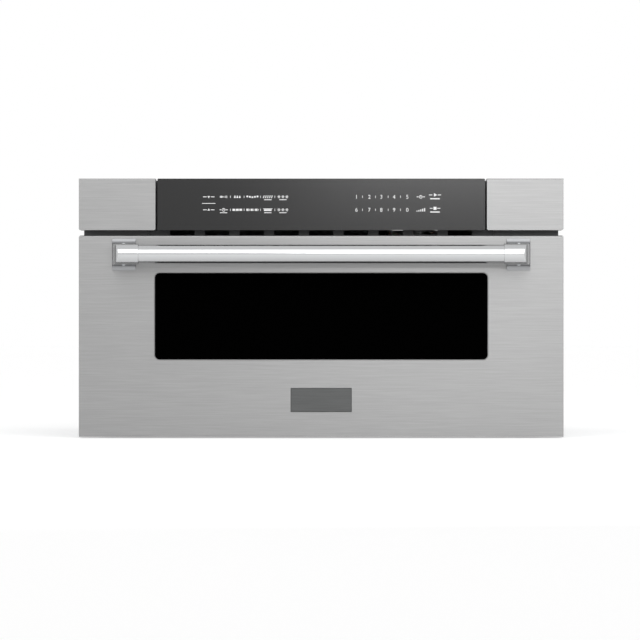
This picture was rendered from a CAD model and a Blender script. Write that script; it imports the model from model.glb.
# %% [markdown]
# # Microwave drawer
# This notebook dresses a built-in microwave drawer: a brushed steel front that slides out with a
# tub behind it, a bar handle, and a dark glass control panel above. Its shapes come from the CAD
# model, so the work here is mostly finishes: what each piece is made of, and how that surface
# was made. The screws, the rubber feet, the transformer's windings and the printed marks have
# detail that is too fine for the CAD model, so they are modelled here.
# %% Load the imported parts
import math

import bmesh
import bpy
from mathutils import Matrix, Vector


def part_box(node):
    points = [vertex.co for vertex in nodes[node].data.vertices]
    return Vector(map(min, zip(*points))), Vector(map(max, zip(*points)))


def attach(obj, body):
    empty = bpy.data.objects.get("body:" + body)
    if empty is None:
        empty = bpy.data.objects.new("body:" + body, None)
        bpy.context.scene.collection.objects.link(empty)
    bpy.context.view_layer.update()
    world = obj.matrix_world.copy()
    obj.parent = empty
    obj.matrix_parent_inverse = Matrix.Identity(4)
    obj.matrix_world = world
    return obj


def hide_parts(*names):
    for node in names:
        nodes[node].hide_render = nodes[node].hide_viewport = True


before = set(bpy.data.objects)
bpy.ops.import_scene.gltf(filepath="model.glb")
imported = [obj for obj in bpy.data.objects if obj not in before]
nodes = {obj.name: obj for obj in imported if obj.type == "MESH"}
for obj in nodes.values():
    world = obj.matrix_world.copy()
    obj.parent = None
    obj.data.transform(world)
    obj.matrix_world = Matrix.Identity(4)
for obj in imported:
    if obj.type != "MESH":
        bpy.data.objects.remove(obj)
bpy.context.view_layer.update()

MM = 0.001

# %% [markdown]
# ## Camera
# The photo looks straight at the front, so the front's width in pixels gives the scale. It has
# hardly any perspective: the underside of the panel doesn't show, and the flange behind the gap
# looks almost as wide as it is. The camera could be moved about until the picture fits, but it is
# surer to work it out: six metres away, with a long lens that lets the front fill the same pixels.
# %% Camera
picture_side_px = 640
front_left_px = 78.8
front_right_px = 563.6
front_bottom_px = 436.85
camera_distance = 6.0

front_low, front_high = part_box("drawer_skin")
metres_per_px = (front_high.x - front_low.x) / (front_right_px - front_left_px)
middle_px = picture_side_px / 2
front_middle_px = (front_left_px + front_right_px) / 2
camera_x = (front_low.x + front_high.x) / 2 + (middle_px - front_middle_px) * metres_per_px
camera_z = front_low.z + (front_bottom_px - middle_px) * metres_per_px

camera_data = bpy.data.cameras.new("photo_camera")
camera_data.sensor_fit = "HORIZONTAL"
camera_data.sensor_width = 36.0
camera_data.lens = camera_data.sensor_width * camera_distance / (picture_side_px * metres_per_px)
camera = bpy.data.objects.new("photo_camera", camera_data)
camera.location = (camera_x, front_low.y - camera_distance, camera_z)
camera.rotation_euler = (math.pi / 2, 0, 0)
bpy.context.scene.collection.objects.link(camera)
bpy.context.scene.camera = camera
bpy.context.scene.view_settings.view_transform = "Standard"
print("lens", round(camera_data.lens, 1), "mm at", [round(value, 3) for value in camera.location])

# %% [markdown]
# ## Colours and nodes
# Colours are picked as sRGB hex values, as in any paint program, but shaders add and multiply
# light, which needs linear values. One function turns the first into the second. Another one adds
# a node with its settings and its links, so that a material reads as a short list.
# %% Colour and node helpers
def linear(hex_colour):
    """An sRGB hex colour as the linear values that a shader works in."""
    parts = [int(hex_colour[start:start + 2], 16) / 255 for start in (1, 3, 5)]
    red, green, blue = (
        part / 12.92 if part <= 0.04045 else ((part + 0.055) / 1.055) ** 2.4 for part in parts)
    return red, green, blue, 1.0


def add_node(tree, kind, inputs=None, stops=(), **settings):
    """Adds a node. Each input gets a value, or a link when it is given another node's output.
    A colour ramp also gets its stops, each a position and a hex colour."""
    node = tree.nodes.new(kind)
    for name, value in settings.items():
        setattr(node, name, value)
    for index, (position, tone) in enumerate(stops):
        node.color_ramp.elements[index].position = position
        node.color_ramp.elements[index].color = linear(tone)
    for name, value in (inputs or {}).items():
        if isinstance(value, bpy.types.NodeSocket):
            tree.links.new(value, node.inputs[name])
        else:
            node.inputs[name].default_value = value
    return node


def connect(tree, shader, outputs):
    """Links other nodes' outputs to the shader's sockets, which are given by name."""
    for name, output in outputs.items():
        tree.links.new(output, shader.inputs[name])


def new_material(name, **shader_values):
    """A material with one Principled shader. Its values are sockets' names with _ for spaces."""
    material = bpy.data.materials.new(name)
    material.use_nodes = True
    tree = material.node_tree
    tree.nodes.clear()
    values = {socket.replace("_", " "): value for socket, value in shader_values.items()}
    shader = add_node(tree, "ShaderNodeBsdfPrincipled", values)
    add_node(tree, "ShaderNodeOutputMaterial", {"Surface": shader.outputs["BSDF"]})
    return material, tree, shader


print("mid grey #808080 is", round(linear("#808080")[0], 3), "in linear light")

# %% [markdown]
# ## Soft boxes
# The front is nearly flat, so what it shows is what it mirrors. A single sun would leave it dark
# with one hot spot, so the lamps are large and soft, as a product photographer's are. A wide one
# above the front draws the light band along the handle and lets the bar shade the steel below. A
# flat one, above and to the right of the camera, is what the control panel mirrors at its upper
# right, where the photo's panel is palest.
# %% Soft boxes
front_middle = Vector((0, front_low.y, (front_low.z + front_high.z) / 2))


def soft_box(name, azimuth, elevation, distance, width, height, radiance):
    """A rectangular lamp that faces the drawer front. Azimuth counts to the right of the camera."""
    a, e = math.radians(azimuth), math.radians(elevation)
    away = Vector((math.sin(a) * math.cos(e), -math.cos(a) * math.cos(e), math.sin(e)))
    data = bpy.data.lights.new(name, "AREA")
    data.shape = "RECTANGLE"
    data.size, data.size_y = width, height
    data.energy = radiance * math.pi * width * height
    lamp = bpy.data.objects.new(name, data)
    lamp.location = front_middle + away * distance
    lamp.rotation_euler = (-away).to_track_quat("-Z", "Y").to_euler()
    lamp.visible_camera = False
    bpy.context.scene.collection.objects.link(lamp)


soft_box("wide_box", azimuth=10, elevation=36, distance=1.7, width=2.6, height=1.25, radiance=1.5)
soft_box("camera_box", azimuth=9, elevation=10.3, distance=2.5, width=0.8, height=0.12, radiance=11)

# %% [markdown]
# ## World
# Metal and glass mirror a white room, which is also the background. If that white lit everything,
# dull surfaces would wash out. A Light Path node tells the two uses apart: rays from the camera,
# off a mirror or through glass see full white, and the rest get a weaker light.
# %% World
room_light = 0.7


def white_for_mirrors(tree):
    """1 for rays that see the background directly, in a mirror or through glass, or else 0."""
    path = add_node(tree, "ShaderNodeLightPath")
    seen = path.outputs["Is Camera Ray"]
    for kind in ("Is Glossy Ray", "Is Transmission Ray"):
        larger = add_node(tree, "ShaderNodeMath", {
            0: seen, 1: path.outputs[kind]}, operation="MAXIMUM")
        seen = larger.outputs[0]
    return seen


world = bpy.data.worlds.new("white_studio")
bpy.context.scene.world = world
world.use_nodes = True
tree = world.node_tree
tree.nodes.clear()
strength = add_node(tree, "ShaderNodeMapRange", {
    "Value": white_for_mirrors(tree), "To Min": room_light, "To Max": 1.0})
background = add_node(tree, "ShaderNodeBackground", {
    "Color": (1, 1, 1, 1), "Strength": strength.outputs[0]})
add_node(tree, "ShaderNodeOutputWorld", {"Surface": background.outputs[0]})
print("world:", world.name)

# %% [markdown]
# ## Floor
# A studio floor is a sheet of pale paper that runs out of sight. A shadow catcher would leave
# mirrors with nothing below them, so this is a real plane with a little glow of its own, only
# where it is seen or mirrored. That lifts it to white, and the soft shadow stays.
# %% Floor
floor_size = 40.0
floor_glow = 0.36

bpy.ops.object.select_all(action="DESELECT")
bpy.ops.mesh.primitive_plane_add(size=floor_size)
floor = bpy.context.object
floor.name = "studio_floor"
floor_paint, tree, shader = new_material(
    "floor_paint", Base_Color=linear("#EEEEEE"), Roughness=0.9, Emission_Color=(1, 1, 1, 1))
glow = add_node(tree, "ShaderNodeMapRange", {
    "Value": white_for_mirrors(tree), "To Min": 0.0, "To Max": floor_glow})
connect(tree, shader, {"Emission Strength": glow.outputs[0]})
floor.data.materials.append(floor_paint)
print("floor", floor.dimensions.x, "m square")

# %% [markdown]
# ## Uneven tone and fine grain
# No real surface has one colour and one gloss all over. A slow pattern shifts both a little, and
# a fine one bends the light as small bumps do. Pictures could be wrapped round the pieces, but
# noise needs no file, fits every shape, and is set in real millimetres.
# %% Uneven tone and fine grain
def pattern_space(tree, size_mm):
    """Object coordinates counted in a pattern's size: one for all axes, or one for each."""
    sizes = size_mm if isinstance(size_mm, tuple) else (size_mm,) * 3
    place = add_node(tree, "ShaderNodeTexCoord")
    mapping = add_node(tree, "ShaderNodeMapping", {
        "Vector": place.outputs["Object"], "Scale": [1 / (size * MM) for size in sizes]})
    return mapping.outputs[0]


def uneven(tree, shader, factor, tones, gloss, start=0.3, end=0.7):
    """Lets a pattern shift the colour between two tones and the roughness between two values."""
    colour = add_node(tree, "ShaderNodeValToRGB", {"Fac": factor}, [
        (start, tones[0]), (end, tones[1])])
    shine = add_node(tree, "ShaderNodeMapRange", {
        "Value": factor, "To Min": gloss[0], "To Max": gloss[1]})
    connect(tree, shader, {"Base Color": colour.outputs["Color"], "Roughness": shine.outputs[0]})


def grained(tree, shader, size_mm, detail, strength, depth_mm):
    """Bends the light on a surface as bumps of a real size and depth do."""
    grain = add_node(tree, "ShaderNodeTexNoise", {
        "Vector": pattern_space(tree, size_mm), "Scale": 1.0, "Detail": detail})
    bump = add_node(tree, "ShaderNodeBump", {
        "Strength": strength, "Distance": depth_mm * MM, "Height": grain.outputs[0]})
    connect(tree, shader, {"Normal": bump.outputs["Normal"]})


print("a pattern of 1 mm is", round(MM / metres_per_px, 2), "pixels wide in the picture")

# %% [markdown]
# ## Brushed stainless steel
# The drawer front and the two wings are stainless sheet, ground with a belt that ran from side to
# side. The belt leaves fine scratches along X. They blur a reflection up and down much more than
# sideways, which is anisotropy, and seen closely they are faint lighter and darker streaks. Noise
# stretched along X gives those streaks. Real scratches are some 0.05 mm wide, which would not show
# here, so the streaks are drawn 0.6 and 1.5 mm wide, and 40 and 60 mm long.
# %% Brushed stainless steel
def brushed_steel(name, tones, gloss, long_axis="X", fine_mm=0.6, broad_mm=1.5, streak_mm=40):
    material, tree, shader = new_material(name, Metallic=1.0, Anisotropic=0.55)
    fine = add_node(tree, "ShaderNodeTexNoise", {
        "Vector": pattern_space(tree, tuple(
            streak_mm if axis == long_axis else fine_mm for axis in "XYZ")),
        "Scale": 1.0, "Detail": 3.0, "Roughness": 0.6})
    broad = add_node(tree, "ShaderNodeTexNoise", {
        "Vector": pattern_space(tree, tuple(
            streak_mm * 1.5 if axis == long_axis else broad_mm for axis in "XYZ")),
        "Scale": 1.0, "Detail": 2.0})
    both = add_node(tree, "ShaderNodeMath", {
        0: fine.outputs[0], 1: broad.outputs[0]}, operation="ADD")
    mean = add_node(tree, "ShaderNodeMath", {0: both.outputs[0], 1: 0.5}, operation="MULTIPLY")
    colour = add_node(tree, "ShaderNodeValToRGB", {"Fac": mean.outputs[0]}, [
        (0.36, tones[0]), (0.64, tones[1])])
    shine = add_node(tree, "ShaderNodeMapRange", {
        "Value": fine.outputs[0], "To Min": gloss - 0.06, "To Max": gloss + 0.06})
    bump = add_node(tree, "ShaderNodeBump", {
        "Strength": 0.12, "Distance": 0.02 * MM, "Height": mean.outputs[0]})
    # The tangent runs across the scratches, because it is the way that highlights spread.
    tangent = add_node(tree, "ShaderNodeTangent", direction_type="RADIAL", axis=long_axis)
    connect(tree, shader, {
        "Base Color": colour.outputs["Color"], "Roughness": shine.outputs[0],
        "Normal": bump.outputs["Normal"], "Tangent": tangent.outputs[0]})
    return material


front_steel = brushed_steel("brushed_stainless_front", ("#909090", "#989898"), 0.36)
tub_steel = brushed_steel("satin_stainless_tub", ("#B9B9B9", "#C5C5C5"), 0.34, "Y")
plate_steel = brushed_steel(
    "dark_satin_plate", ("#525353", "#5B5C5C"), 0.38, fine_mm=0.5, broad_mm=1.4)
rolled_steel = brushed_steel(
    "zinc_plated_rolled_steel", ("#B0B3B6", "#C3C6C8"), 0.3, "Y", broad_mm=1.8)
print(front_steel.name, tub_steel.name, plate_steel.name, rolled_steel.name)

# %% [markdown]
# ## Polished metal
# The bar is smooth and bright: drawn, then buffed. A buffed surface mirrors the room with a
# slight blur. One roughness all over would look computed, so a soft cloudy noise varies it a
# little. Hair-fine polishing lines run along the bar. They are drawn 0.4 mm wide.
# %% Polished metal
def polished_metal(name, tone, gloss, line_mm=(30, 0.4, 0.4)):
    material, tree, shader = new_material(name, Base_Color=linear(tone), Metallic=1.0)
    clouds = add_node(tree, "ShaderNodeTexNoise", {
        "Vector": pattern_space(tree, 25), "Scale": 1.0, "Detail": 4.0})
    shine = add_node(tree, "ShaderNodeMapRange", {
        "Value": clouds.outputs[0], "To Min": gloss - 0.03, "To Max": gloss + 0.04})
    connect(tree, shader, {"Roughness": shine.outputs[0]})
    grained(tree, shader, line_mm, 2.0, 0.05, 0.01)
    return material


handle_metal = polished_metal("buffed_handle_metal", "#BEBFC0", 0.16)
ball_metal = polished_metal("polished_ball_steel", "#C9CBCD", 0.1, 1)
print(handle_metal.name, ball_metal.name)

# %% [markdown]
# ## Cast brackets
# Each bracket is one zinc casting, plated and then buffed. The wheel reaches the head, which is as
# bright as the bar, but not the hollow at the foot, which stays satin and a little darker. Two
# materials would leave a hard line between them. So one material goes from one finish to the other
# with the distance from the drawer front, which is the Y of the Object coordinates. The casting's
# grain is a few tenths of a millimetre, and it is drawn 0.8 mm wide so that it shows.
# %% Cast brackets
foot_reach = 12.0 * MM  # from the front to where the wheel begins to touch
buffed_reach = 20.0 * MM
bracket_metal, tree, shader = new_material("buffed_zinc_casting", Metallic=1.0)
place = add_node(tree, "ShaderNodeTexCoord")
depth = add_node(tree, "ShaderNodeSeparateXYZ", {"Vector": place.outputs["Object"]})
satin = add_node(tree, "ShaderNodeMapRange", {
    "Value": depth.outputs["Y"],
    "From Min": front_low.y - buffed_reach, "From Max": front_low.y - foot_reach})
uneven(tree, shader, satin.outputs[0], ("#BEBFC0", "#97989A"), (0.16, 0.44), 0.0, 1.0)
grained(tree, shader, 0.8, 3.0, 0.08, 0.02)
print(bracket_metal.name)

# %% [markdown]
# ## Glass
# Three kinds. The window and the control panel are soda-lime glass, printed black on the back.
# Two layers could show that, but the print lies against the glass, so one dark base under a clear
# polished face with an IOR of 1.5 looks the same. The control panel has a finely etched face for
# touch, which blurs what it mirrors. The tray is clear glass that light passes through, with the
# faint green of iron.
# %% Glass
def printed_glass(name, tones, gloss, mirror_share=0.5):
    """Glass with an opaque coating behind it. Its colour varies very slightly, and a mirror
    share of 0.5 is the full reflection of a plain glass face."""
    material, tree, shader = new_material(name, IOR=1.5, Specular_IOR_Level=mirror_share)
    specks = add_node(tree, "ShaderNodeTexNoise", {
        "Vector": pattern_space(tree, 3), "Scale": 1.0, "Detail": 5.0})
    uneven(tree, shader, specks.outputs[0], tones, (gloss * 0.9, gloss * 1.1))
    return material, tree, shader


def clear_glass(name, tone):
    material, tree, shader = new_material(
        name, Base_Color=linear(tone), Transmission_Weight=1.0, IOR=1.5, Roughness=0.02)
    grained(tree, shader, 60, 2.0, 0.1, 0.05)
    return material


panel_black = printed_glass("etched_panel_glass", ("#040405", "#060607"), 0.2)[0]
display_black = printed_glass("smoked_display_face", ("#07080A", "#090A0C"), 0.08)[0]
tray_glass = clear_glass("tempered_tray_glass", "#EAF4F0")
lamp_glass = clear_glass("lamp_bulb_glass", "#FBFBF6")
print(panel_black.name, display_black.name, tray_glass.name, lamp_glass.name)

# %% [markdown]
# The window is as black as a hole from straight ahead, yet it mirrors the room from the side.
# That is what an anti-reflection layer does: it works for light that meets it squarely and fails
# for light at a slant. Layer Weight's Facing is 0 when a face is seen squarely and grows to 1 at
# its edge, so it turns the reflection up.
# %% Window glass
square_on, at_a_slant = 0.003, 0.3  # Facing where the reflection starts and where it is full
window_black, tree, shader = printed_glass("black_window_glass", ("#010101", "#020202"), 0.03, 0.0)
slant = add_node(tree, "ShaderNodeLayerWeight", {"Blend": 0.5})
growing = add_node(tree, "ShaderNodeMapRange", {
    "Value": slant.outputs["Facing"], "From Min": square_on, "From Max": at_a_slant, "To Max": 0.5})
connect(tree, shader, {"Specular IOR Level": growing.outputs[0]})
print(window_black.name)

# %% [markdown]
# ## Zinc-coated sheet
# The casing is steel sheet dipped in zinc. As the zinc cools it grows crystals, the spangle, which
# show as pale patches a few millimetres across, each a little lighter or darker than the next.
# Noise has no edges between its patches, so Voronoi cells are the better stand-in: like crystals,
# they grow until they meet.
# %% Zinc-coated sheet
def zinc_sheet(name, tones, cell_mm=4, gloss=0.5):
    material, tree, shader = new_material(name, Metallic=1.0)
    crystals = add_node(tree, "ShaderNodeTexVoronoi", {
        "Vector": pattern_space(tree, cell_mm), "Scale": 1.0})
    tone = add_node(tree, "ShaderNodeSeparateColor", {"Color": crystals.outputs["Color"]})
    uneven(tree, shader, tone.outputs[0], tones, (gloss - 0.07, gloss + 0.07), 0.0, 1.0)
    grained(tree, shader, 1, 4.0, 0.15, 0.02)
    return material


casing_zinc = zinc_sheet("spangled_zinc_sheet", ("#96999B", "#A4A7A9"))
duct_zinc = zinc_sheet("aluminised_duct_sheet", ("#BEC0C1", "#CBCDCE"), 3, 0.36)
print(casing_zinc.name, duct_zinc.name)

# %% [markdown]
# ## Paint and powder coat
# The flange behind the gap, the grille and the motors are powder coated. The powder melts on the
# metal and leaves a slight orange peel, a millimetre or so from hump to hump, under a satin skin.
# Humps so low need no geometry: a bump is enough, because only the highlights show them.
# %% Powder coat
def powder_coat(name, tones, gloss=0.45):
    material, tree, shader = new_material(name, IOR=1.5)
    cloud = add_node(tree, "ShaderNodeTexNoise", {
        "Vector": pattern_space(tree, 40), "Scale": 1.0, "Detail": 3.0})
    uneven(tree, shader, cloud.outputs[0], tones, (gloss - 0.05, gloss + 0.05))
    grained(tree, shader, 1.2, 2.0, 0.3, 0.03)
    return material


flange_coat = powder_coat("grey_black_powder_coat", ("#565758", "#5C5D5E"))
grille_coat = powder_coat("dark_grey_powder_coat", ("#464849", "#4C4E4F"))
motor_coat = powder_coat("satin_black_motor_paint", ("#242526", "#2A2B2C"), 0.4)
print(flange_coat.name, grille_coat.name, motor_coat.name)

# %% [markdown]
# ## Moulded plastic and rubber
# Moulded pieces take the texture of the mould: here a fine spark-eroded grain under half a
# millimetre. It is drawn 0.5 mm coarse so that it shows. Nylon gears and hooks are smoother and
# let a little light in, which Subsurface gives. The rubber of the feet is dull, with a dusty
# bloom, and mica is pressed from flakes, so its grain is 2.5 mm wide.
# %% Moulded plastic and rubber
def moulded(name, tones, gloss, grain_mm=0.5, strength=0.25, light_inside=0.0):
    material, tree, shader = new_material(
        name, IOR=1.5, Subsurface_Weight=light_inside, Subsurface_Scale=2 * MM)
    flow = add_node(tree, "ShaderNodeTexNoise", {
        "Vector": pattern_space(tree, 30), "Scale": 1.0, "Detail": 3.0})
    uneven(tree, shader, flow.outputs[0], tones, (gloss - 0.05, gloss + 0.05))
    grained(tree, shader, grain_mm, 2.0, strength, 0.03)
    return material


black_abs = moulded("black_moulded_abs", ("#1B1B1C", "#202021"), 0.5)
white_nylon = moulded("natural_nylon", ("#DEDBD0", "#E6E3D8"), 0.42, 0.8, 0.15, 0.1)
switch_plastic = moulded("black_phenolic", ("#161515", "#1C1A1A"), 0.4)
foot_rubber = moulded("black_foot_rubber", ("#151515", "#1D1D1D"), 0.75, 0.9, 0.4)
mica = moulded("pressed_mica", ("#B9AE93", "#CFC6AE"), 0.35, 2.5, 0.2)
print(black_abs.name, white_nylon.name, switch_plastic.name, foot_rubber.name, mica.name)

# %% [markdown]
# ## Circuit boards
# A board is glass fibre with copper tracks under green solder resist, so the tracks show as paler
# green lines, here 0.4 mm wide. Bricks with thin mortar are the nearest of Blender's patterns to
# their right angles. What stands on the board is the same CAD piece, so its colour is chosen by
# place: all that lies in front of the board's face is dark plastic.
# %% Circuit boards
resist_and_tracks = {
    "Scale": 0.08, "Mortar Size": 0.03,
    "Color1": linear("#0E4A2A"), "Color2": linear("#125232"), "Mortar": linear("#2C7A4A")}


def circuit_board(name, face_y):
    material, tree, shader = new_material(name, IOR=1.5, Roughness=0.35)
    tracks = add_node(tree, "ShaderNodeTexBrick", {
        "Vector": pattern_space(tree, 1), **resist_and_tracks})
    place = add_node(tree, "ShaderNodeSeparateXYZ", {"Vector": pattern_space(tree, 1)})
    parts = add_node(tree, "ShaderNodeMath", {
        0: place.outputs["Y"], 1: face_y / MM}, operation="LESS_THAN")
    colour = add_node(tree, "ShaderNodeMix", {
        "Factor": parts.outputs[0], "A": tracks.outputs["Color"], "B": linear("#1D1E20")},
        data_type="RGBA")
    connect(tree, shader, {"Base Color": colour.outputs["Result"]})
    return material


board_thickness = 1.7 * MM
relay_board = circuit_board("relay_board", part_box("control_board")[1].y - board_thickness)
plain_board = circuit_board("touch_sensor_board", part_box("touch_board")[0].y - MM)
print(relay_board.name, plain_board.name)

# %% [markdown]
# The mains filter is one CAD piece: a board on nylon legs with a wound choke and a box capacitor.
# Its colour is chosen by place as well: below the board, on the board's left half, or on its right
# half. The choke's copper turns are a wave pattern.
# %% Mains filter
filter_low, filter_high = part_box("noise_filter")
filter_parts_height = 20.0 * MM
board_top = filter_high.z - filter_parts_height
filter_finish, tree, shader = new_material("filter_board_and_parts", IOR=1.5, Roughness=0.38)
place = add_node(tree, "ShaderNodeTexCoord")
x, _, z = add_node(tree, "ShaderNodeSeparateXYZ", {"Vector": place.outputs["Object"]}).outputs
resist = add_node(tree, "ShaderNodeTexBrick", {
    "Vector": pattern_space(tree, 1), **resist_and_tracks})
turns = add_node(tree, "ShaderNodeTexWave", {
    "Vector": pattern_space(tree, 2), "Scale": 0.5, "Distortion": 0.4}, bands_direction="X")
wire = add_node(tree, "ShaderNodeValToRGB", {"Fac": turns.outputs["Fac"]}, [
    (0.1, "#6E351A"), (0.9, "#B0633A")])
colour = wire.outputs["Color"]
# Each row mixes one tone with the colour so far, which None stands for, at a limit along X or Z.
for axis, limit, side, low, high in (
        (x, (filter_low.x + filter_high.x) / 2, "GREATER_THAN", None, linear("#C99A2E")),
        (z, board_top + 0.05 * MM, "GREATER_THAN", resist.outputs["Color"], None),
        (z, board_top - 1.65 * MM, "LESS_THAN", None, linear("#DEDBD0"))):
    there = add_node(tree, "ShaderNodeMath", {0: axis, 1: limit}, operation=side)
    mixed = add_node(tree, "ShaderNodeMix", {
        "Factor": there.outputs[0], "A": low or colour, "B": high or colour}, data_type="RGBA")
    colour = mixed.outputs["Result"]
bump = add_node(tree, "ShaderNodeBump", {
    "Strength": 0.4, "Distance": 0.2 * MM, "Height": turns.outputs["Fac"]})
connect(tree, shader, {"Base Color": colour, "Normal": bump.outputs["Normal"]})
print(filter_finish.name)

# %% [markdown]
# ## Stacked, wound, rolled and sintered metals
# The transformer's core is a stack of thin steel sheets whose cut edges show as stripes, and the
# drive shaft keeps the fine rings of the grinding wheel. Both are a wave pattern across the
# stack. The copper wire has a clear varnish and is drawn along its length, so it takes the
# polished finish. Rolled aluminium takes the brushed one, and sintered bronze, which is pressed
# from grains, takes the zinc sheet's cells, far smaller.
# %% Stacked, wound, rolled and sintered metals
def striped_metal(name, tones, stripe_mm, axis, gloss):
    """Thin sheets or rings that lie side by side along one axis."""
    material, tree, shader = new_material(name, Metallic=1.0, Roughness=gloss)
    stripes = add_node(tree, "ShaderNodeTexWave", {
        "Vector": pattern_space(tree, stripe_mm), "Scale": 0.5, "Distortion": 0.6,
        "Detail": 2.0}, bands_direction=axis)
    colour = add_node(tree, "ShaderNodeValToRGB", {"Fac": stripes.outputs["Fac"]}, [
        (0.1, tones[0]), (0.9, tones[1])])
    bump = add_node(tree, "ShaderNodeBump", {
        "Strength": 0.5, "Distance": 0.1 * MM, "Height": stripes.outputs["Fac"]})
    connect(tree, shader, {
        "Base Color": colour.outputs["Color"], "Normal": bump.outputs["Normal"]})
    return material


core_sheets = striped_metal("laminated_core_steel", ("#6E7072", "#85878A"), 1.2, "Y", 0.45)
shaft_steel = striped_metal("ground_shaft_steel", ("#A5A7A9", "#B5B7B9"), 0.8, "X", 0.25)
copper_wire = polished_metal("varnished_copper_wire", "#B0633A", 0.28, (0.6, 0.6, 20))
fin_aluminium = brushed_steel(
    "rolled_aluminium", ("#C4C6C8", "#D2D4D5"), 0.33, fine_mm=0.8, broad_mm=3.0, streak_mm=30)
bearing_bronze = zinc_sheet("sintered_bronze", ("#9A7448", "#AC8557"), 0.8)
print(core_sheets.name, shaft_steel.name, copper_wire.name, fin_aluminium.name, bearing_bronze.name)

# %% [markdown]
# ## Window screen
# Behind the window glass lies a steel sheet with a field of small round holes, which lets light
# out but keeps microwaves in. The holes are 1.5 mm wide and 2.2 mm apart. Cutting some fifteen
# thousand holes would make a huge mesh that black glass then hides, so the sheet is plain and the
# holes are a pattern: each point's distance from the middle of its cell says whether it is in one.
# %% Window screen
hole_pitch_mm = 2.2
hole_reach = 0.34  # in hole pitches
screen_steel, tree, shader = new_material("punched_black_screen", Roughness=0.5, IOR=1.5)
cells = pattern_space(tree, hole_pitch_mm)
flat = add_node(tree, "ShaderNodeVectorMath", {0: cells, 1: (1, 0, 1)}, operation="MULTIPLY")
inside = add_node(tree, "ShaderNodeVectorMath", {0: flat.outputs[0]}, operation="FRACTION")
offset = add_node(tree, "ShaderNodeVectorMath", {
    0: inside.outputs[0], 1: (0.5, 0, 0.5)}, operation="SUBTRACT")
reach = add_node(tree, "ShaderNodeVectorMath", {0: offset.outputs[0]}, operation="LENGTH")
solid = add_node(tree, "ShaderNodeMath", {
    0: reach.outputs["Value"], 1: hole_reach}, operation="GREATER_THAN")
colour = add_node(tree, "ShaderNodeValToRGB", {"Fac": solid.outputs[0]}, [
    (0.0, "#020202"), (1.0, "#2B2C2D")])
bump = add_node(tree, "ShaderNodeBump", {
    "Strength": 0.6, "Distance": 0.2 * MM, "Height": solid.outputs[0]})
connect(tree, shader, {"Base Color": colour.outputs["Color"], "Normal": bump.outputs["Normal"]})
print(screen_steel.name)

# %% [markdown]
# ## Finishes onto pieces
# Each CAD piece keeps its shape and gets its finish by name. The list could go piece by piece,
# but with one line for each finish it also says which pieces are cut from the same stock.
# %% Finishes onto pieces
finishes = {
    front_steel: ["drawer_skin", "fascia_wing_left", "fascia_wing_right"],
    plate_steel: ["name_plate"],
    handle_metal: ["handle_bar"],
    bracket_metal: ["handle_bracket_left", "handle_bracket_right"],
    window_black: ["window_glass"],
    panel_black: ["control_glass"],
    display_black: ["display_module"],
    flange_coat: ["mounting_flange"],
    grille_coat: ["vent_grille"],
    tub_steel: ["tub", "cavity_shell"],
    tray_glass: ["glass_tray"],
    lamp_glass: ["cavity_lamp"],
    screen_steel: ["window_screen"],
    black_abs: ["choke_cover", "control_housing", "cord_bushing", "fan_housing"],
    white_nylon: [
        "racks", "pinions", "latch_hooks", "fan_blade", "air_duct", "lamp_socket",
        "switch_holders"],
    switch_plastic: ["interlock_switches"],
    foot_rubber: ["feet"],
    casing_zinc: [
        "outer_cover", "back_panel", "base_plate", "door_frame", "slide_brackets", "drawer_rails"],
    duct_zinc: ["waveguide"],
    rolled_steel: [
        "slide_inners", "slide_middle_left", "slide_middle_right", "slide_outers",
        "handle_screws", "cover_screws"],
    ball_metal: ["outer_ball_cages", "inner_ball_cages"],
    shaft_steel: ["drive_shaft"],
    bearing_bronze: ["shaft_bearings"],
    motor_coat: ["drive_motor", "stirrer_motor", "fan_motor"],
    plain_board: ["touch_board"],
    filter_finish: ["noise_filter"],
    relay_board: ["control_board"],
    mica: ["stirrer_cover"],
    fin_aluminium: ["stirrer_blade", "magnetron", "hv_capacitor"],
    core_sheets: ["transformer_core"],
    copper_wire: ["transformer_coils"],
}
for finish, names in finishes.items():
    for name in names:
        for slot in nodes[name].material_slots:
            slot.material = finish
dressed = [name for names in finishes.values() for name in names]
print(len(dressed), "pieces dressed; left out:", sorted(set(nodes) - set(dressed)))

# %% [markdown]
# ## Where the screws and feet sit
# The cover screws are one CAD node of six separate solids, and the feet one of four. A better
# shape needs the place of each. Typed numbers would go wrong when the CAD model changes, so the
# places are measured. A copy of the node is welded, since a CAD mesh is loose triangles, and split
# into its loose parts, and the box round each part is its place. Then the copies are deleted, and
# the node itself stays as it was.
# %% Boxes of separate solids
def boxes_of_solids(name):
    """The low and high corner of each separate solid in a CAD node."""
    bpy.ops.object.select_all(action="DESELECT")
    nodes[name].select_set(True)
    bpy.context.view_layer.objects.active = nodes[name]
    bpy.ops.object.duplicate()
    bpy.ops.object.mode_set(mode="EDIT")
    bpy.ops.mesh.select_all(action="SELECT")
    bpy.ops.mesh.remove_doubles(threshold=0.01 * MM)
    bpy.ops.mesh.separate(type="LOOSE")
    bpy.ops.object.mode_set(mode="OBJECT")
    boxes = []
    for solid in bpy.context.selected_objects:
        points = [vertex.co for vertex in solid.data.vertices]
        low = [min(point[axis] for point in points) for axis in range(3)]
        high = [max(point[axis] for point in points) for axis in range(3)]
        boxes.append((Vector(low), Vector(high)))
    bpy.ops.object.delete()
    return sorted(boxes, key=lambda box: tuple(box[0]))


screw_boxes = boxes_of_solids("cover_screws")
foot_boxes = boxes_of_solids("feet")
print(len(screw_boxes), "screws and", len(foot_boxes), "feet")

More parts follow.
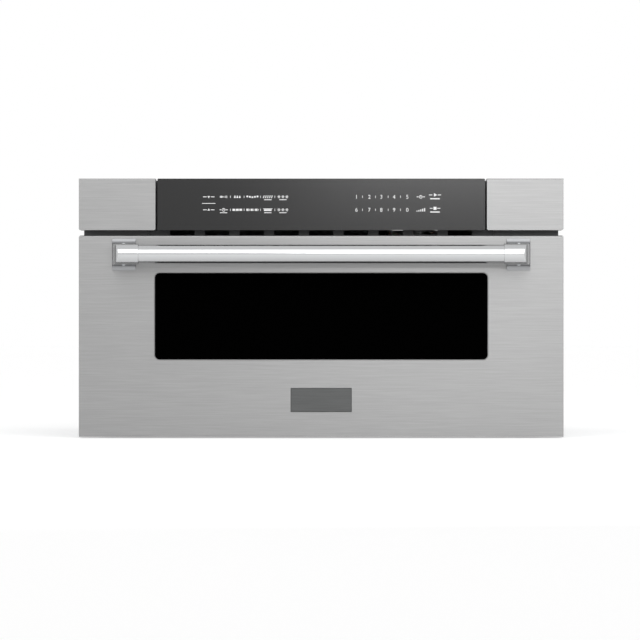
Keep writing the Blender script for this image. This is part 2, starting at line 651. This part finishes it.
# %% [markdown]
# ## Cover screws
# Sheet metal screws with a pan head and a cross recess hold the cover. A screw could be spun from
# half its outline, but a cylinder is already round, so its rim only has to be bevelled into the
# head. By hand the upper face would be clicked. A script picks faces by where they are and which
# way they look.
# %% Screw head
def pick_faces(test):
    """Selects the faces whose middle and normal pass a test, and nothing else."""
    bpy.ops.mesh.select_mode(type="FACE")
    bpy.ops.mesh.select_all(action="DESELECT")
    mesh = bmesh.from_edit_mesh(bpy.context.object.data)
    for face in mesh.faces:
        face.select_set(test(face.calc_center_median(), face.normal))
    bmesh.update_edit_mesh(bpy.context.object.data)


screw_low, screw_high = screw_boxes[-1]
cover_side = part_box("outer_cover")[1].x
head_radius = (screw_high.z - screw_low.z) / 2
head_height = screw_high.x - cover_side
head_rounding = 1.5 * MM

bpy.ops.object.select_all(action="DESELECT")
bpy.ops.mesh.primitive_cylinder_add(
    vertices=32, radius=head_radius, depth=head_height, location=(0, 0, head_height / 2))
bpy.ops.object.transform_apply(location=True)
screw = bpy.context.object
bpy.ops.object.mode_set(mode="EDIT")
pick_faces(lambda middle, normal: normal.z > 0.9)
bpy.ops.mesh.bevel(offset=head_rounding, segments=4, affect="EDGES")
bpy.ops.object.mode_set(mode="OBJECT")
print("head", round(2 * head_radius / MM, 2), "mm wide,", len(screw.data.polygons), "faces")

# %% [markdown]
# From the head's lower face the shank is drawn out in short steps, wider and narrower in turn,
# which gives the thread's ridges. A true thread is a helix, but on a screw of this size nobody
# can tell it from rings, and rings close without a seam.
# %% Screw thread
shank_length = cover_side - screw_low.x
thread_radius, core_radius, thread_pitch = 1.9 * MM, 1.45 * MM, 1.2 * MM
tip_length, tip_share = 0.8 * MM, 0.2


def drawn_out(length, scale=1.0):
    """Extrudes the selected faces along Z, and scales the new ones about the Z axis."""
    bpy.ops.mesh.extrude_region_move(TRANSFORM_OT_translate={"value": (0, 0, length)})
    bpy.ops.transform.resize(value=(scale, scale, 1))


bpy.ops.object.mode_set(mode="EDIT")
pick_faces(lambda middle, normal: normal.z < -0.9)
bpy.ops.mesh.inset(thickness=head_radius - core_radius)
turns = int((shank_length - tip_length) / thread_pitch)
for turn in range(turns):
    drawn_out(-thread_pitch / 2, thread_radius / core_radius)
    drawn_out(-thread_pitch / 2, core_radius / thread_radius)
drawn_out(-(shank_length - turns * thread_pitch), tip_share)
bpy.ops.object.mode_set(mode="OBJECT")
print("screw with", turns, "turns,", len(screw.data.polygons), "faces")

# %% [markdown]
# The cross recess is where the driver grips. It could be drawn in a bump, but a bump stays flat
# at the rim. Two crossed wedges, narrower at the bottom as the driver's tip is, cut it out of the
# head with a Boolean modifier.
# %% Cross recess
for quarter in range(2):
    bpy.ops.object.select_all(action="DESELECT")
    bpy.ops.mesh.primitive_cube_add(
        size=1, location=(0, 0, head_height), scale=(4.4 * MM, 0.9 * MM, 2.6 * MM))
    bpy.ops.object.mode_set(mode="EDIT")
    pick_faces(lambda middle, normal: normal.z < -0.9)
    bpy.ops.transform.resize(value=(0.45, 0.7, 1))
    bpy.ops.object.mode_set(mode="OBJECT")
    wedge = bpy.context.object
    wedge.rotation_euler.z = quarter * math.pi / 2
    cut = screw.modifiers.new("recess", "BOOLEAN")
    cut.operation = "DIFFERENCE"
    cut.object = wedge
    bpy.context.view_layer.objects.active = screw
    bpy.ops.object.modifier_apply(modifier="recess")
    bpy.data.objects.remove(wedge)
print("recess cut:", len(screw.data.polygons), "faces")

# %% [markdown]
# One screw is made, pointing up, and a copy is turned and moved to each place. Linked copies
# would share one mesh, but here each piece keeps its place in its mesh, so every copy has its own.
# The driver stops at any angle, so each recess is turned a little further than the last.
# %% Screws at their places
recess_turn = 0.7


def copied_to(original, place):
    """A copy with its own mesh, which a matrix takes to its place."""
    copy = original.copy()
    copy.data = original.data.copy()
    bpy.context.scene.collection.objects.link(copy)
    copy.data.transform(place)
    return copy


def as_one_piece(parts, name, finish):
    """Joins parts into one piece, smooths its round faces and gives it its finish."""
    bpy.ops.object.select_all(action="DESELECT")
    for part in parts:
        part.select_set(True)
    bpy.context.view_layer.objects.active = parts[0]
    bpy.ops.object.join()
    piece = bpy.context.object
    piece.name = name
    bpy.ops.object.shade_smooth_by_angle(angle=math.radians(35))
    piece.data.materials.clear()
    piece.data.materials.append(finish)
    return piece


screws = []
for index, (low, high) in enumerate(screw_boxes):
    side = 1 if low.x > 0 else -1
    middle = (low + high) / 2
    place = Matrix.Translation((side * cover_side, middle.y, middle.z))
    outwards = Matrix.Rotation(side * math.pi / 2, 4, "Y")
    screws.append(copied_to(screw, place @ outwards @ Matrix.Rotation(index * recess_turn, 4, "Z")))
bpy.data.objects.remove(screw)
screw_steel = polished_metal("zinc_plated_screw_steel", "#A9ABAE", 0.3, 1)
cross_head_screws = as_one_piece(screws, "cross_head_cover_screws", screw_steel)
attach(cross_head_screws, "housing")
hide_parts("cover_screws")
print(cross_head_screws.name, len(cross_head_screws.data.polygons), "faces")

# %% [markdown]
# ## Feet
# The feet are moulded rubber discs. Their lower face has rings, which grip, round a deep hole for
# the screw that holds the foot. Rings of their own could be laid on the disc, but they would only
# touch it. So the lower face is inset and pushed in and out by turns, which keeps one closed
# skin, and a Bevel modifier rounds its rims.
# %% Ringed feet
foot_low, foot_high = foot_boxes[0]
foot_radius = (foot_high.x - foot_low.x) / 2
foot_height = foot_high.z - foot_low.z
ring_width, ring_depth, hole_depth = 2.0 * MM, 1.0 * MM, 4.0 * MM

bpy.ops.object.select_all(action="DESELECT")
bpy.ops.mesh.primitive_cylinder_add(
    vertices=48, radius=foot_radius, depth=foot_height, location=(0, 0, foot_height / 2))
bpy.ops.object.transform_apply(location=True)
foot = bpy.context.object
bpy.ops.object.mode_set(mode="EDIT")
pick_faces(lambda middle, normal: normal.z < -0.9)
for depth in (ring_depth, -ring_depth, hole_depth):
    bpy.ops.mesh.inset(thickness=ring_width)
    drawn_out(depth)
bpy.ops.object.mode_set(mode="OBJECT")
rounding = foot.modifiers.new("rounding", "BEVEL")
rounding.width, rounding.segments, rounding.angle_limit = 0.35 * MM, 2, math.radians(40)
bpy.ops.object.modifier_apply(modifier="rounding")

feet = []
for low, high in foot_boxes:
    place = Matrix.Translation(((low.x + high.x) / 2, (low.y + high.y) / 2, 0))
    feet.append(copied_to(foot, place))
bpy.data.objects.remove(foot)
ringed_feet = as_one_piece(feet, "ringed_rubber_feet", foot_rubber)
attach(ringed_feet, "housing")
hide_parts("feet")
print(ringed_feet.name, len(ringed_feet.data.polygons), "faces")

# %% [markdown]
# ## Transformer windings
# Both windings are varnished copper wire in even layers, the lower one of thick wire and the
# upper one of thin wire. A winding could be one long helix, but its turns lie so close that a
# stack of closed turns looks the same and stays light. One turn is a block whose upright edges
# are bevelled into round corners, and then its rims into a round wire.
# %% One turn of wire
winding_build = 14.4 * MM  # from the iron to the winding's outside
wire_share = 0.98  # of the height that a turn has, so that no two turns touch
rim_share = 0.47


def wire_block(middle, width, depth, pitch):
    """One turn of wire round a solid block."""
    bpy.ops.object.select_all(action="DESELECT")
    bpy.ops.mesh.primitive_cube_add(
        size=1, location=middle, scale=(width, depth, pitch * wire_share))
    bpy.ops.object.transform_apply(location=True, scale=True)
    turn = bpy.context.object
    bpy.ops.object.mode_set(mode="EDIT")
    bpy.ops.mesh.select_mode(type="EDGE")
    bpy.ops.mesh.select_all(action="DESELECT")
    mesh = bmesh.from_edit_mesh(turn.data)
    for edge in mesh.edges:
        along = edge.verts[0].co - edge.verts[1].co
        edge.select_set(abs(along.z) > pitch / 2)
    bmesh.update_edit_mesh(turn.data)
    bpy.ops.mesh.bevel(offset=winding_build / 2, segments=5, affect="EDGES")
    pick_faces(lambda middle, normal: abs(normal.z) > 0.9)
    bpy.ops.mesh.bevel(offset=pitch * rim_share, segments=2, affect="EDGES")
    bpy.ops.object.mode_set(mode="OBJECT")
    return turn


coil_boxes = sorted(boxes_of_solids("transformer_coils"), key=lambda box: box[0].z)
print(len(coil_boxes), "windings:", [
    [round(side / MM, 1) for side in high - low] for low, high in coil_boxes], "mm")

# %% [markdown]
# A Boolean modifier cuts the core's opening through the block, and an Array modifier stacks the
# turns. The thick wire goes round 15 times in the height that it has, and the thin one 27 times.
# %% Windings
turn_counts = (15, 27)


def winding(low, high, turn_count):
    """Stacked turns that fill a box, with the core's opening through them."""
    size = high - low
    pitch = size.z / turn_count
    middle = (low + high) / 2
    first = (middle.x, middle.y, low.z + pitch / 2)
    turn = wire_block(first, size.x, size.y, pitch)
    bpy.ops.mesh.primitive_cube_add(
        size=1, location=first,
        scale=(size.x - 2 * winding_build, size.y - 2 * winding_build, 3 * pitch))
    iron = bpy.context.object
    opening = turn.modifiers.new("opening", "BOOLEAN")
    opening.operation = "DIFFERENCE"
    opening.object = iron
    stack = turn.modifiers.new("stack", "ARRAY")
    stack.count = turn_count
    stack.use_relative_offset = False
    stack.use_constant_offset = True
    stack.constant_offset_displace = (0, 0, pitch)
    bpy.context.view_layer.objects.active = turn
    for name in ("opening", "stack"):
        bpy.ops.object.modifier_apply(modifier=name)
    bpy.data.objects.remove(iron)
    return turn


coils = [winding(*box, turn_count) for box, turn_count in zip(coil_boxes, turn_counts)]
wound_coils = as_one_piece(coils, "wound_transformer_coils", copper_wire)
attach(wound_coils, "housing")
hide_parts("transformer_coils")
print(wound_coils.name, len(wound_coils.data.polygons), "faces")

# %% [markdown]
# ## Marks on the control panel
# The panel's marks are a thin white screen print. Numbers stay numbers. The other keys get plain
# signs: bars, arrows, a clock, a flake, a cup. A picture on the glass would be quick, but it would
# blur when seen closely. So each sign is a few flat shapes, made as mesh primitives that face the
# room and moved to their places. Places were read from the photo in pixels, and the camera's
# scale turns them to metres.
# %% Flat shapes
glass_low, glass_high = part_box("control_glass")
ink_parts = []


def glass_x(photo_px):
    return camera_x + (photo_px - middle_px) * metres_per_px


def glass_z(photo_px):
    return camera_z - (photo_px - middle_px) * metres_per_px


def settled(x, z, width, height, turn):
    """Takes the new flat shape to its place, upright, and keeps it as a piece of print."""
    part = bpy.context.object
    part.scale = (width, height, 1)
    part.rotation_euler = (math.pi / 2, turn, 0)
    part.location = (x, glass_low.y, z)
    bpy.ops.object.transform_apply(location=True, rotation=True, scale=True)
    ink_parts.append(part)


def bar(x, z, width_mm, height_mm, turn=0.0):
    bpy.ops.mesh.primitive_plane_add(size=1)
    settled(x, z, width_mm * MM, height_mm * MM, turn)


def disc(x, z, diameter_mm, corners=24, turn=0.0, squash=1.0):
    """A filled circle, or with three corners an arrow head."""
    bpy.ops.mesh.primitive_circle_add(vertices=corners, radius=0.5, fill_type="NGON")
    settled(x, z, diameter_mm * MM, diameter_mm * squash * MM, turn)


def ring(x, z, diameter_mm, line_mm):
    bpy.ops.mesh.primitive_circle_add(vertices=32, radius=0.5, fill_type="NGON")
    bpy.ops.object.mode_set(mode="EDIT")
    bpy.ops.mesh.select_all(action="SELECT")
    bpy.ops.mesh.inset(thickness=line_mm / diameter_mm)
    bpy.ops.mesh.delete(type="FACE")
    bpy.ops.object.mode_set(mode="OBJECT")
    settled(x, z, diameter_mm * MM, diameter_mm * MM, 0.0)


print("one pixel of the photo is", round(metres_per_px / MM, 3), "mm on the glass")

# %% [markdown]
# Each sign is built round the middle of its key, with sizes in millimetres. Most of them repeat
# one shape from left to right, so that a sign is about as wide as its key.
# %% Signs made of flat shapes
def dashes(x, z, inner_mm, outer_mm):
    """A dash on each side of a sign, so that it fills the width of its key."""
    for side in (-1, 1):
        bar(x + side * (inner_mm + outer_mm) / 2 * MM, z, outer_mm - inner_mm, 1.1)


def clock_sign(x, z):
    ring(x, z, 5.4, 0.8)
    bar(x, z + 0.8 * MM, 0.8, 1.9)
    bar(x + 0.6 * MM, z, 1.6, 0.8)
    dashes(x, z, 3.6, 6.4)


def flake_sign(x, z):
    for step in (-1, 0, 1):
        for third in range(3):
            bar(x + step * 6.2 * MM, z, 5.0, 0.8, third * math.pi / 3)


def heat_sign(x, z):
    for step in (-2, -1, 0, 1, 2):
        bar(x + step * 3.2 * MM, z, 1.2, 4.6, math.radians(20))


def cup_sign(x, z):
    for step in (-1, 0, 1):
        bar(x + (step * 6.8 - 0.8) * MM, z, 3.8, 3.4)
        ring(x + (step * 6.8 + 1.7) * MM, z, 2.8, 0.7)


def pot_sign(x, z):
    bar(x, z - 0.5 * MM, 12.0, 2.6)
    bar(x, z + 1.7 * MM, 15.0, 0.8)


def drop_sign(x, z):
    for step in (-1, 0, 1):
        disc(x + step * 3.8 * MM, z - 0.6 * MM, 2.8)
        disc(x + step * 3.8 * MM, z + 1.2 * MM, 2.6, 3)


def kernel_sign(x, z):
    for step in range(-2, 3):
        disc(x + step * 4.0 * MM, z + (abs(step) - 1) * 0.6 * MM, 3.0)


def sound_sign(x, z):
    bar(x - 4.6 * MM, z, 2.4, 2.4)
    disc(x - 2.8 * MM, z, 4.8, 3, math.pi / 2)
    for step, height in ((0.6, 2.0), (2.8, 3.0), (5.0, 4.0)):
        bar(x + step * MM, z, 0.9, height)


def soft_sign(x, z):
    for step in (-1, 0, 1):
        bar(x + step * 5.4 * MM, z, 4.4, 3.2)


def step_sign(x, z):
    for step in range(5):
        bar(x + (step - 2) * 3.0 * MM, z + (step - 4) * 0.5 * MM, 1.7, 1.2 + 1.0 * step)


def slide_sign(x, z, turn):
    disc(x, z, 5.0, 3, turn, 0.9)
    dashes(x, z, 3.2, 9.0)


upper_signs = [sound_sign, drop_sign, kernel_sign, heat_sign, flake_sign]
lower_signs = [clock_sign, soft_sign, cup_sign, pot_sign, flake_sign]
print(len(set(upper_signs + lower_signs)), "kinds of sign for the left half")

# %% [markdown]
# The keys stand in two rows: five signs on the left, five numbers on the right, with short ticks
# between them. Some signs have a line below. Each could be set by hand, but one loop for both
# rows keeps their columns in line.
# %% Print the keys
upper_row_px, lower_row_px = 196.8, 209.8
underline_drop_px = 2.9
key_columns_px = [223.6, 237.3, 252.4, 267.8, 282.9]
key_ticks_px = [230.4, 244.1, 260.5, 274.8]
digit_ticks_px = [362.5, 375.5, 388.2, 400.5]
rows = ((upper_row_px, upper_signs, (3, 4)), (lower_row_px, lower_signs, (0, 3, 4)))

bpy.ops.object.select_all(action="DESELECT")
for row_px, signs, underlined in rows:
    for column, (column_px, sign) in enumerate(zip(key_columns_px, signs)):
        sign(glass_x(column_px), glass_z(row_px))
        if column in underlined:
            bar(glass_x(column_px), glass_z(row_px + underline_drop_px), 11.5, 1.1)
    for tick_px in key_ticks_px + digit_ticks_px:
        bar(glass_x(tick_px), glass_z(row_px), 0.7, 3.6)
print(len(ink_parts), "flat shapes")

# %% [markdown]
# The single keys could join the loop above, but each has its own column and line. They are
# arrows out and in at the far left, a clock with a stair of bars below it, and at the far right
# an arrow head and a square.
# %% Print the single keys
slide_x, slide_line_px = glass_x(208.7), 203.4
timer_x = glass_x(420.8)
start_x, start_px, start_line_px = glass_x(435.0), 194.9, 198.7
stop_px, stop_line_px = 208.3, 212.0

slide_sign(slide_x, glass_z(upper_row_px), math.pi)
slide_sign(slide_x, glass_z(lower_row_px), 0.0)
bar(slide_x, glass_z(slide_line_px), 21.0, 0.9)
clock_sign(timer_x, glass_z(upper_row_px))
step_sign(timer_x, glass_z(lower_row_px))
disc(start_x, glass_z(start_px), 6.4, 3, math.pi / 2)
dashes(start_x, glass_z(start_px), 4.2, 9.6)
bar(start_x, glass_z(start_line_px), 15.0, 1.8)
bar(start_x, glass_z(stop_px), 4.8, 4.8)
dashes(start_x, glass_z(stop_px), 3.6, 8.2)
bar(start_x, glass_z(stop_line_px), 15.0, 1.8)
print(len(ink_parts), "flat shapes")

# %% [markdown]
# Numbers could be built from bars too, as on a clock, but Blender's own font is plain and clean.
# Each number is a text object that is turned into a mesh first, and only then scaled to the
# height of the printed figure, stood upright and set in its place.
# %% Numbers
digit_height = 6.0 * MM
digit_columns_px = [356.5, 369.4, 381.3, 394.1, 407.3]
for row_px, figures in ((upper_row_px, "12345"), (lower_row_px, "67890")):
    for column_px, figure in zip(digit_columns_px, figures):
        bpy.ops.object.text_add()
        text = bpy.context.object
        text.data.body = figure
        bpy.ops.object.convert(target="MESH")
        bpy.ops.object.origin_set(type="ORIGIN_GEOMETRY", center="BOUNDS")
        size = digit_height / bpy.context.object.dimensions.y
        settled(glass_x(column_px), glass_z(row_px), size, size, 0.0)
print("figures are", digit_height / MM, "mm high")

# %% [markdown]
# ## Ink
# Screen ink lies on the glass a few hundredths of a millimetre thick, matt and very slightly
# mottled where the screen's threads held it back. Flat shapes alone would flicker against the
# glass, so they are joined and a Solidify modifier gives them thickness, here 0.06 mm.
# %% Ink
ink_thickness = 0.06 * MM
print_white, tree, shader = new_material("white_screen_print", Roughness=0.45, IOR=1.5)
mottle = add_node(tree, "ShaderNodeTexNoise", {"Vector": pattern_space(tree, 0.8), "Scale": 1.0})
colour = add_node(tree, "ShaderNodeValToRGB", {"Fac": mottle.outputs[0]}, [
    (0.3, "#E2E2E2"), (0.7, "#EEEEEE")])
connect(tree, shader, {"Base Color": colour.outputs["Color"]})

bpy.ops.object.select_all(action="DESELECT")
for part in ink_parts:
    part.select_set(True)
bpy.context.view_layer.objects.active = ink_parts[0]
bpy.ops.object.join()
panel_print = bpy.context.object
panel_print.name = "panel_print"
thickness = panel_print.modifiers.new("ink", "SOLIDIFY")
thickness.thickness = ink_thickness
thickness.offset = 1.0
bpy.ops.object.modifier_apply(modifier="ink")
panel_print.data.materials.clear()
panel_print.data.materials.append(print_white)
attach(panel_print, "housing")
print(panel_print.name, len(panel_print.data.polygons), "faces")
